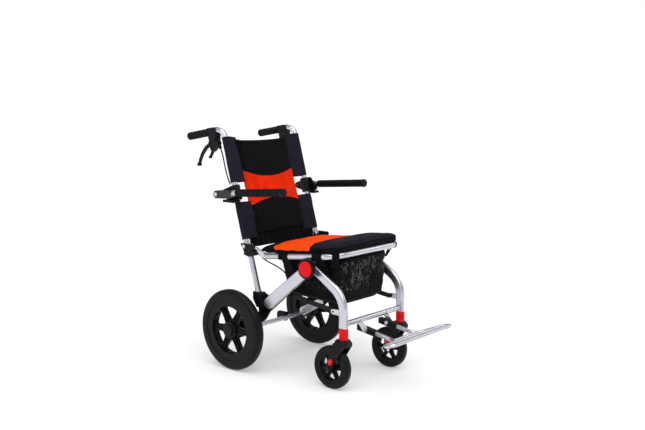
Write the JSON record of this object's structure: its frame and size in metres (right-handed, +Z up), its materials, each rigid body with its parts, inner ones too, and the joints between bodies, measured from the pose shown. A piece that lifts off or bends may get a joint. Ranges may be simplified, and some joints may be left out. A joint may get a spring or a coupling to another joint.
{
  "type": "folding transport wheelchair",
  "caption": "Folding attendant-pushed wheelchair with padded seat and back, flip-up armrests, swivel casters, flip-up footrest and cable brakes.",
  "frame": {"origin": "on the floor, in the middle of the chair's overall length and width", "axes": "+Z up, -Y the way the chair faces, +X the occupant's left"},
  "size_m": [0.524, 0.9706, 0.9],
  "materials": {
    "aluminium": "satin anodised",
    "black_plastic": "moulded, fine texture",
    "black_paint": "satin powder coat",
    "red_plastic": "moulded red plastic",
    "tyre_rubber": "solid polyurethane tyre",
    "grip_rubber": "ribbed hand grip",
    "foam": "closed-cell foam with skin",
    "steel": "zinc-plated fasteners",
    "cable_sheath": "smooth cable sheath",
    "seat_fabric": "orange nylon band on black seat",
    "back_fabric": "orange-red band on charcoal back",
    "black_fabric": "black nylon",
    "mesh_fabric": "fine black mesh"
  },
  "bodies": {
    "frame": {"seat_rail_left": "aluminium", "seat_rail_right": "aluminium", "seat_cross_tubes": "aluminium", "seat_hangers": "aluminium", "rear_leg_left": "aluminium", "rear_leg_right": "aluminium", "lower_uprights": "aluminium", "hinge_brackets": "black_plastic", "rear_brackets": "black_plastic", "rear_axle_frame": "aluminium", "tip_pedals": "black_plastic", "brake_drums": "black_plastic", "frame_bolts": "steel", "pivot_rings": "black_plastic", "lower_brake_cables": "cable_sheath", "seat_cushion": "seat_fabric", "storage_bag": "mesh_fabric", "bag_loops": "black_fabric"},
    "front_frame": {"front_leg_left": "aluminium", "front_leg_right": "aluminium", "front_cross_tube": "aluminium", "caster_collars": "red_plastic"},
    "front_stay_links": {"front_stays": "black_paint"},
    "rear_stay_links": {"rear_stays": "black_paint"},
    "footrest": {"footrest_sleeves": "black_plastic", "footplate": "aluminium"},
    "backrest": {"back_tube_left": "aluminium", "back_tube_right": "aluminium", "back_cross_tube": "black_paint", "back_panel": "back_fabric", "back_sleeves": "black_fabric", "back_skirt": "black_fabric", "armrest_brackets": "black_plastic", "handle_grips": "grip_rubber", "brake_clamps": "black_plastic", "upper_brake_cables": "cable_sheath"},
    "button_left": {"release_button_left": "red_plastic"},
    "caster_swivel_left": {"caster_fork_left": "black_plastic", "caster_axle_left": "aluminium"},
    "caster_wheel_left": {"caster_rim_left": "black_plastic", "caster_tyre_left": "tyre_rubber"},
    "rear_wheel_left": {"rear_rim_left": "black_plastic", "rear_tyre_left": "tyre_rubber"},
    "armrest_left": {"armrest_frame_left": "aluminium", "armrest_pad_left": "foam"},
    "brake_lever_left": {"brake_lever_left": "black_plastic"},
    "parking_latch_left": {"parking_latch_left": "black_plastic"},
    "brake_arm_left": {"brake_arm_left": "black_paint"},
    "button_right": {"release_button_right": "red_plastic"},
    "caster_swivel_right": {"caster_fork_right": "black_plastic", "caster_axle_right": "aluminium"},
    "caster_wheel_right": {"caster_rim_right": "black_plastic", "caster_tyre_right": "tyre_rubber"},
    "rear_wheel_right": {"rear_rim_right": "black_plastic", "rear_tyre_right": "tyre_rubber"},
    "armrest_right": {"armrest_frame_right": "aluminium", "armrest_pad_right": "foam"},
    "brake_lever_right": {"brake_lever_right": "black_plastic"},
    "parking_latch_right": {"parking_latch_right": "black_plastic"},
    "brake_arm_right": {"brake_arm_right": "black_paint"}
  },
  "joints": [
    {"name": "front_fold", "type": "hinge", "parent": "frame", "child": "front_frame", "pos_m": [0, -0.1236, 0.419], "axis": [1, 0, 0], "range_deg": [0, 40]},
    {"name": "rear_stay_pivot", "type": "hinge", "parent": "frame", "child": "rear_stay_links", "pos_m": [0, 0.0214, 0.305], "axis": [1, 0, 0], "range_deg": [-46, 0]},
    {"name": "front_stay_pivot", "type": "hinge", "parent": "front_frame", "child": "front_stay_links", "pos_m": [0, -0.2166, 0.276], "axis": [1, 0, 0], "range_deg": [0, 26]},
    {"name": "footrest_flip", "type": "hinge", "parent": "front_frame", "child": "footrest", "pos_m": [0, -0.2826, 0.204], "axis": [-1, 0, 0], "range_deg": [0, 85]},
    {"name": "back_fold", "type": "hinge", "parent": "frame", "child": "backrest", "pos_m": [0, 0.1764, 0.4675], "axis": [1, 0, 0], "range_deg": [0, 75]},
    {"name": "button_press_left", "type": "slide", "parent": "frame", "child": "button_left", "axis": [-1, 0, 0], "range_m": [0, 0.003], "stiffness_N_per_m": 800},
    {"name": "caster_swivel_left", "type": "hinge", "parent": "front_frame", "child": "caster_swivel_left", "pos_m": [0.168, -0.2616, 0.18], "axis": [0, 0, 1], "continuous": true},
    {"name": "caster_spin_left", "type": "hinge", "parent": "caster_swivel_left", "child": "caster_wheel_left", "pos_m": [0.168, -0.2126, 0.077], "axis": [1, 0, 0], "continuous": true},
    {"name": "rear_wheel_spin_left", "type": "hinge", "parent": "frame", "child": "rear_wheel_left", "pos_m": [0.237, 0.2164, 0.152], "axis": [1, 0, 0], "continuous": true},
    {"name": "armrest_lift_left", "type": "hinge", "parent": "backrest", "child": "armrest_left", "pos_m": [0.23, 0.2864, 0.655], "axis": [-1, 0, 0], "range_deg": [0, 105]},
    {"name": "brake_squeeze_left", "type": "hinge", "parent": "backrest", "child": "brake_lever_left", "pos_m": [0.194, 0.3594, 0.84], "axis": [1, 0, 0], "range_deg": [0, 20], "stiffness_Nm_per_rad": 0.8},
    {"name": "parking_latch_turn_left", "type": "hinge", "parent": "backrest", "child": "parking_latch_left", "pos_m": [0.194, 0.3474, 0.816], "axis": [1, 0, 0], "range_deg": [0, 35]},
    {"name": "brake_arm_pull_left", "type": "hinge", "parent": "frame", "child": "brake_arm_left", "pos_m": [0.186, 0.2164, 0.152], "axis": [1, 0, 0], "range_deg": [0, 8]},
    {"name": "button_press_right", "type": "slide", "parent": "frame", "child": "button_right", "axis": [1, 0, 0], "range_m": [0, 0.003], "stiffness_N_per_m": 800},
    {"name": "caster_swivel_right", "type": "hinge", "parent": "front_frame", "child": "caster_swivel_right", "pos_m": [-0.168, -0.2616, 0.18], "axis": [0, 0, 1], "continuous": true},
    {"name": "caster_spin_right", "type": "hinge", "parent": "caster_swivel_right", "child": "caster_wheel_right", "pos_m": [-0.168, -0.2126, 0.077], "axis": [1, 0, 0], "continuous": true},
    {"name": "rear_wheel_spin_right", "type": "hinge", "parent": "frame", "child": "rear_wheel_right", "pos_m": [-0.237, 0.2164, 0.152], "axis": [1, 0, 0], "continuous": true},
    {"name": "armrest_lift_right", "type": "hinge", "parent": "backrest", "child": "armrest_right", "pos_m": [-0.23, 0.2864, 0.655], "axis": [-1, 0, 0], "range_deg": [0, 105]},
    {"name": "brake_squeeze_right", "type": "hinge", "parent": "backrest", "child": "brake_lever_right", "pos_m": [-0.194, 0.3594, 0.84], "axis": [1, 0, 0], "range_deg": [0, 20], "stiffness_Nm_per_rad": 0.8},
    {"name": "parking_latch_turn_right", "type": "hinge", "parent": "backrest", "child": "parking_latch_right", "pos_m": [-0.194, 0.3474, 0.816], "axis": [1, 0, 0], "range_deg": [0, 35]},
    {"name": "brake_arm_pull_right", "type": "hinge", "parent": "frame", "child": "brake_arm_right", "pos_m": [-0.186, 0.2164, 0.152], "axis": [1, 0, 0], "range_deg": [0, 8]}
  ],
  "couplings": [
    {"joint": "rear_stay_pivot", "follows": "front_fold", "ratio": -1.1425},
    {"joint": "front_stay_pivot", "follows": "front_fold", "ratio": 0.645},
    {"joint": "brake_arm_pull_left", "follows": "brake_squeeze_left", "ratio": 0.4},
    {"joint": "brake_arm_pull_right", "follows": "brake_squeeze_right", "ratio": 0.4}
  ]
}
